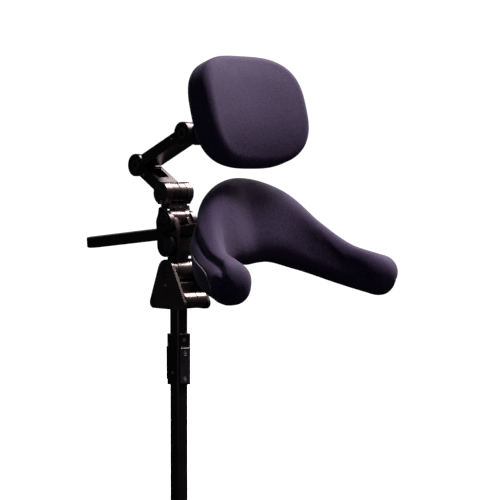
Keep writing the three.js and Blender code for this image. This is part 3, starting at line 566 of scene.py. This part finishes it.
def neck_grid():
    """The neck pad's skin: points, distance along the pad from its middle, degrees round."""
    half = np.array(NECK_PAD, float)
    other = half[1:][::-1].copy()
    other[:, 0] *= -1
    keys = np.concatenate([other, half])
    ends = np.concatenate([2 * keys[:1] - keys[1:2], keys, 2 * keys[-1:] - keys[-2:-1]])
    count = (len(keys) - 1) * NECK_STEPS
    stations = []
    for step in range(count + 1):
        index = min(step // NECK_STEPS, len(keys) - 2)
        stations.append(catmull_rom(step / NECK_STEPS - index, *ends[index:index + 4]))
    stations = np.array(stations)
    axis = post_axis() / MM
    path = np.stack([stations[:, 0], axis.y - stations[:, 1], axis.z + stations[:, 2]], 1)
    along = np.gradient(path, axis=0)
    along /= np.linalg.norm(along, axis=1, keepdims=True)
    outward = np.cross(along, (0, 0, 1))
    outward /= np.linalg.norm(outward, axis=1, keepdims=True)
    outward *= np.where((outward[:, 1:2] < 0) & (np.abs(along[:, 1:2]) < 0.99), -1, 1)
    upward = np.cross(outward, along)
    upward *= np.sign(upward[:, 2:3])
    lean = np.radians(stations[:, 5:6])
    across = outward * np.cos(lean) - upward * np.sin(lean)
    rise = upward * np.cos(lean) + outward * np.sin(lean)
    turn = 2 * np.pi * np.arange(NECK_SIDES) / NECK_SIDES
    thick = power(np.cos(turn), NECK_EDGE)[None, :, None] * stations[:, None, 4:5]
    tall = power(np.sin(turn), NECK_EDGE)[None, :, None] * stations[:, None, 3:4]
    rings = path[:, None] + thick * across[:, None] + tall * rise[:, None]
    length = np.concatenate([[0], np.cumsum(np.linalg.norm(np.diff(path, axis=0), axis=1))])
    length -= length[len(length) // 2]

    def nose(ring, point, out, base, sign):
        rows, places = [], []
        for share in (0.2, 0.4, 0.58, 0.74, 0.87, 0.96):
            angle = share * np.pi / 2
            centre = point + out * NECK_TIP * np.sin(angle)
            rows.append((ring - point) * np.cos(angle) + centre)
            places.append(base + sign * NECK_TIP * np.sin(angle))
        return np.array(rows), np.array(places)

    start, start_places = nose(rings[0], path[0], -along[0], length[0], -1)
    end, end_places = nose(rings[-1], path[-1], along[-1], length[-1], 1)
    grid = np.concatenate([start[::-1], rings, end])
    places = np.concatenate([start_places[::-1], length, end_places])
    return grid * MM, places, signed_degrees(np.degrees(turn))


def signed_degrees(degrees):
    """Degrees round the section from -90 below to 270."""
    return np.where(degrees > 270, degrees - 360, degrees)


def on_cover(places, degrees):
    """For each grid point, both arms folded onto one: distance along the pad, degrees round it,
    and distance from the roll seam and from the zip on the cover laid flat."""
    along, around = np.meshgrid(np.abs(places), degrees, indexing="ij")
    flat = np.stack([along, around * ROUND_MM], 2)
    seams = [[(place, angle * ROUND_MM) for place, angle in seam] for seam in (ROLL_SEAM, ZIP_SEAM)]
    return along, around, near_line(flat, seams[0]), near_line(flat, seams[1])


def neck_relief(along, around, roll, zipper):
    """How far the finished cover stands out from the swollen one, in millimetres."""
    # the sewn groove, the side panel below it that lies lower, and the zip's flat tape
    upper_seam = np.array(ROLL_SEAM[:7], float)
    seam_angle = np.interp(along, upper_seam[:, 0], upper_seam[:, 1])
    in_panel = ease(seam_angle - around, -4, 8) * ease(around, 2, 55) * ease(188 - along, 0, 14)
    relief = -2.8 * bell(roll, 3.2) - 4.2 * in_panel - 0.7 * bell(zipper, 1.8)
    # a roll along the upper inner edge and the hollow below it that takes the neck
    relief += (1.6 * bell(around - 104, 20) - 5.0 * bell(around - 172, 34)) * (1 - ease(along, 150, 188))
    # cloth gathered into the seam that closes the tip, and a soft puff beside it
    gathers = np.sin(np.radians(around) * 17 + np.sin(along * 0.55) * 0.8)
    near_tip = bell(along - 184, 5.0) * ease(around, -95, -55) * (1 - ease(around, 5, 35))
    relief += 0.42 * gathers * near_tip
    relief += 1.2 * bell(along - 177, 8) * bell(around - 30, 20)
    # fine ripples under the tip
    ripple = np.sin(np.radians(around) * 24 + along * 0.13)
    relief += 0.22 * ripple * bell(along - 195, 7) * bell(around + 40, 45)
    return relief


def make_neck_pad(materials):
    grid, places, degrees = neck_grid()
    along, around, roll, zipper = on_cover(places, degrees)
    held = np.maximum(bell(roll, SEAM_HOLD), 0.8 * bell(zipper, SEAM_HOLD))
    held[held < HOLD_FROM] = 0
    on_shell = (1 - ease(along, 50, 80)) * bell(around, 75)
    inset = (-1.1 + 1.8 * on_shell + 2.6 * bell(roll, 6)) * MM
    grid = inflated("neck_pad_start", grid, held, inset, NECK_SWELL)

    grid = finer(grid, NECK_FINER)
    places = finer(np.repeat(places[:, None, None], 4, 1), NECK_FINER)[:, 0, 0]
    sides = NECK_SIDES * NECK_FINER
    degrees = signed_degrees(360 * np.arange(sides) / sides)
    relief = neck_relief(*on_cover(places, degrees))
    grid = grid + grid_normals(grid) * (relief * MM)[..., None]

    pad = new_object("neck_pad_cover", grid_mesh("neck_pad_cover", grid))
    finish_pad(pad, "neck_cushion", "neck_pad", materials["pad_fabric"])
    make_zip(grid, places, degrees, materials["thread"])


def make_zip(grid, places, degrees, material):
    """The zip closing the cover: one fine light line round the outside of the pad."""
    normals = grid_normals(grid)
    stops = np.array(ZIP_SEAM, float)
    line = []
    for place in np.linspace(-ZIP_END, ZIP_END, ZIP_POINTS):
        angle = np.interp(abs(place), stops[:, 0], stops[:, 1])
        row = np.abs(places - place).argmin()
        column = np.abs(degrees - angle).argmin()
        line.append(grid[row, column] + normals[row, column] * ZIP_LIFT)
    line = np.array(line)
    for _ in range(3):
        line[1:-1] = (line[:-2] + 2 * line[1:-1] + line[2:]) / 4
    tube("neck_pad_zip", line.tolist(), ZIP_RADIUS, material, "neck_pad")


# ---- head pad
HEAD_PAD = {"forward": 114, "up": 488.9, "lean": 16.5, "width": 149, "height": 126, "thick": 41, "curl": 8}
HEAD_OUTLINE = 3.0                # superellipse exponent of its front outline
FRONT_EDGE = 9                    # rounding of the front edge
BACK_EDGE = 16                    # rounding of the back edge
HEAD_SHIFT = 1.4                  # how far the pad sits back of its centre, towards its shell
HEAD_SIDES = 80
HEAD_FINER = 3
HEAD_CROWN = 4.0                  # how far the front falls back to its upper and lower edges
HEAD_DROOP = 6.0                  # how much more it does so at the lower edge
BACK_ROWS = 9                     # rows of the back, which faces the shell and does not swell
BACK_GROOVE = 1.0 * MM            # depth of the seam round the back


def head_profile():
    """Rows from the middle of the front to the middle of the back: share of the outline, depth."""
    half = HEAD_PAD["thick"] / 2
    span = (HEAD_PAD["width"] + HEAD_PAD["height"]) / 4
    rows = [(share, -half) for share in (0.03, 0.12, 0.22, 0.32, 0.42, 0.52, 0.61, 0.69, 0.76, 0.82)]
    for angle in (0, 18, 36, 54, 72, 90):
        share = 1 - FRONT_EDGE / span * (1 - math.sin(math.radians(angle)))
        rows.append((share, -half + FRONT_EDGE * (1 - math.cos(math.radians(angle)))))
    for share in (0.25, 0.5, 0.75):
        rows.append((1, -half + FRONT_EDGE + share * (2 * half - FRONT_EDGE - BACK_EDGE)))
    for angle in (0, 18, 36, 54, 72, 90):
        share = 1 - BACK_EDGE / span * (1 - math.cos(math.radians(angle)))
        rows.append((share, half - BACK_EDGE * (1 - math.sin(math.radians(angle)))))
    rows += [(share, half) for share in (0.78, 0.7, 0.6, 0.5, 0.4, 0.3, 0.2, 0.1, 0.03)]
    return np.array(rows)


def head_grid():
    """The head pad's skin in its own frame: the front towards -Y, hollow from side to side."""
    profile = head_profile()
    turn = 2 * np.pi * np.arange(HEAD_SIDES) / HEAD_SIDES
    side = profile[:, :1] * power(np.cos(turn), HEAD_OUTLINE)[None]
    rise = profile[:, :1] * power(np.sin(turn), HEAD_OUTLINE)[None]
    front = (profile[:, 1:] < 0) * np.abs(profile[:, 1:]) / (HEAD_PAD["thick"] / 2)
    crown = front * (HEAD_CROWN * rise * rise + HEAD_DROOP * np.clip(-rise, 0, 1) ** 3)
    flatter = 0.72 - 0.28 * profile[:, 1:] / (HEAD_PAD["thick"] / 2)
    depth = profile[:, 1:] + HEAD_SHIFT + crown - HEAD_PAD["curl"] * flatter * side * side
    local = np.stack([side * HEAD_PAD["width"] / 2, depth, rise * HEAD_PAD["height"] / 2], 2)
    return local * MM


def head_frame():
    """Where the head pad stands, leaning back at the top."""
    axis = post_axis()
    centre = Vector((0, axis.y - HEAD_PAD["forward"] * MM, axis.z + HEAD_PAD["up"] * MM))
    return Matrix.Translation(centre) @ Matrix.Rotation(math.radians(-HEAD_PAD["lean"]), 4, "X")


def make_head_pad(materials):
    local = head_grid()
    profile = head_profile()
    depth = np.repeat(profile[:, 1:], HEAD_SIDES, 1)
    half = HEAD_PAD["thick"] / 2
    back_seam = half - BACK_EDGE
    held = 0.9 * bell(depth - back_seam, 2.5) + 0.35 * bell(depth + half - FRONT_EDGE * 0.4, 3.0)
    held[held < HOLD_FROM] = 0
    held[-BACK_ROWS:] = 1
    inset = np.full(local.shape[:2], 0.5 * MM)
    inset[-BACK_ROWS:] = 0
    local = inflated("head_pad_start", local, held, inset, HEAD_SWELL)

    local = finer(local, HEAD_FINER)
    rows = finer(np.repeat(profile[:, 1:][:, None], 4, 1), HEAD_FINER)[:, :1, 0]
    groove = np.repeat(bell(rows - back_seam, 0.9), HEAD_SIDES * HEAD_FINER, 1)
    local = local - grid_normals(local) * (groove * BACK_GROOVE)[..., None]
    place = head_frame()
    grid = local @ np.array(place.to_3x3()).T + np.array(place.translation)
    pad = new_object("head_pad_cover", grid_mesh("head_pad_cover", grid))
    finish_pad(pad, "head_cushion", "head_pad", materials["pad_fabric"])


# ---------------------------------------------------------------- the whole object
make_camera()
make_stage()
make_lights()
materials = make_materials()
dress_frame(materials)
make_head_pad(materials)
make_neck_pad(materials)
